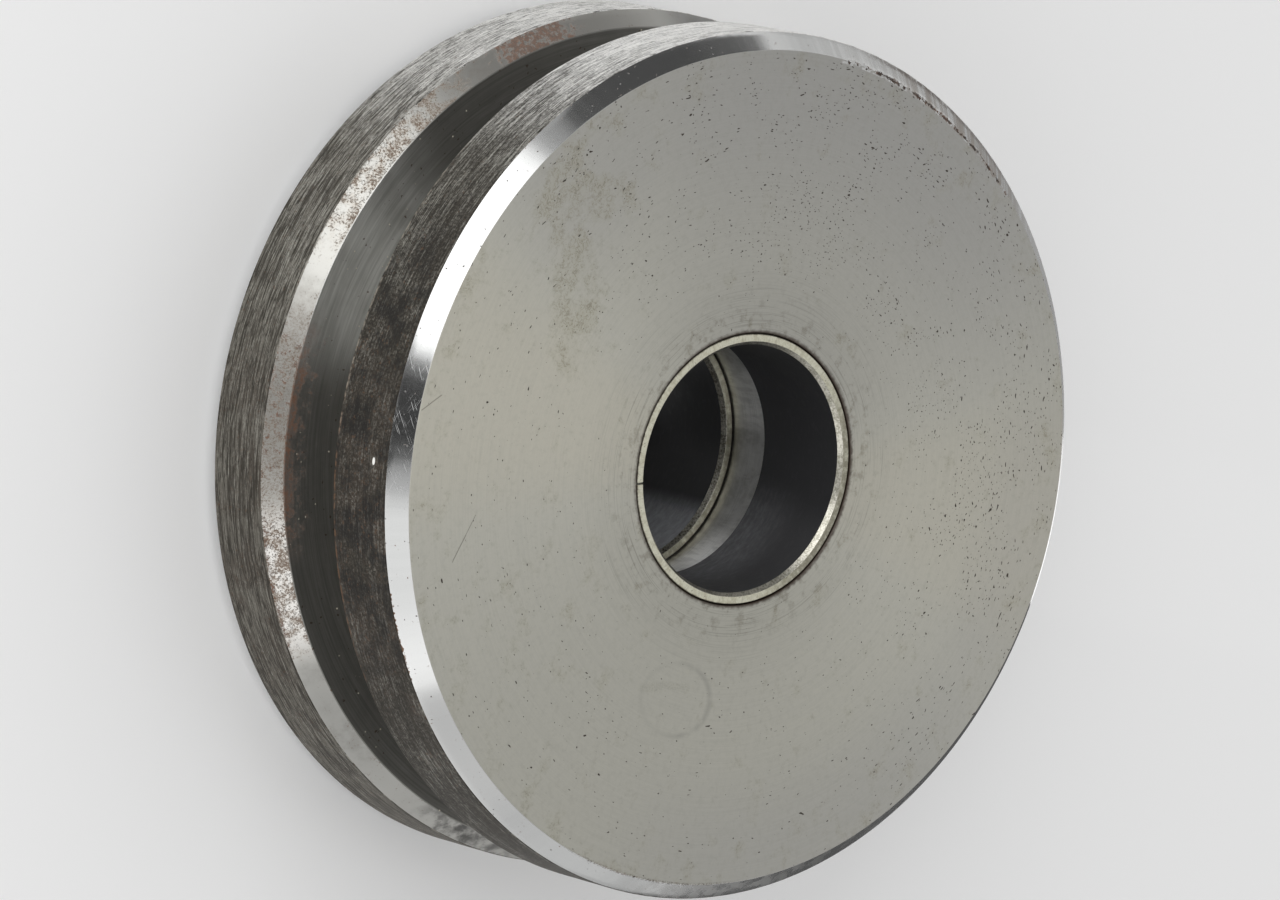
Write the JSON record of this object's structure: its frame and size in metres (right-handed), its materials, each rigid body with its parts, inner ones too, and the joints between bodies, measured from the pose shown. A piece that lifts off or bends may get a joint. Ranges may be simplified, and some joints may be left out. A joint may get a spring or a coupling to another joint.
{
  "type": "grooved pulley",
  "caption": "Thick turned steel pulley wheel with a deep round-bottomed rope groove, chamfered rim corners and split plain bushes pressed into both ends of its bore.",
  "frame": {"origin": "centre of the rear face, on which the wheel lies", "axes": "+Z along the bore axis, from the rear face to the front face"},
  "size_m": [0.14, 0.14, 0.05],
  "materials": {
    "turned_steel": "turned bare steel faces and chamfers, dark mill scale on the rim lands, light rust in the groove",
    "bush_strip": "plated steel strip with a near-black dry lining inside"
  },
  "bodies": {
    "root": {"pulley_wheel": "turned_steel", "front_bush": "bush_strip", "rear_bush": "bush_strip"}
  },
  "joints": []
}
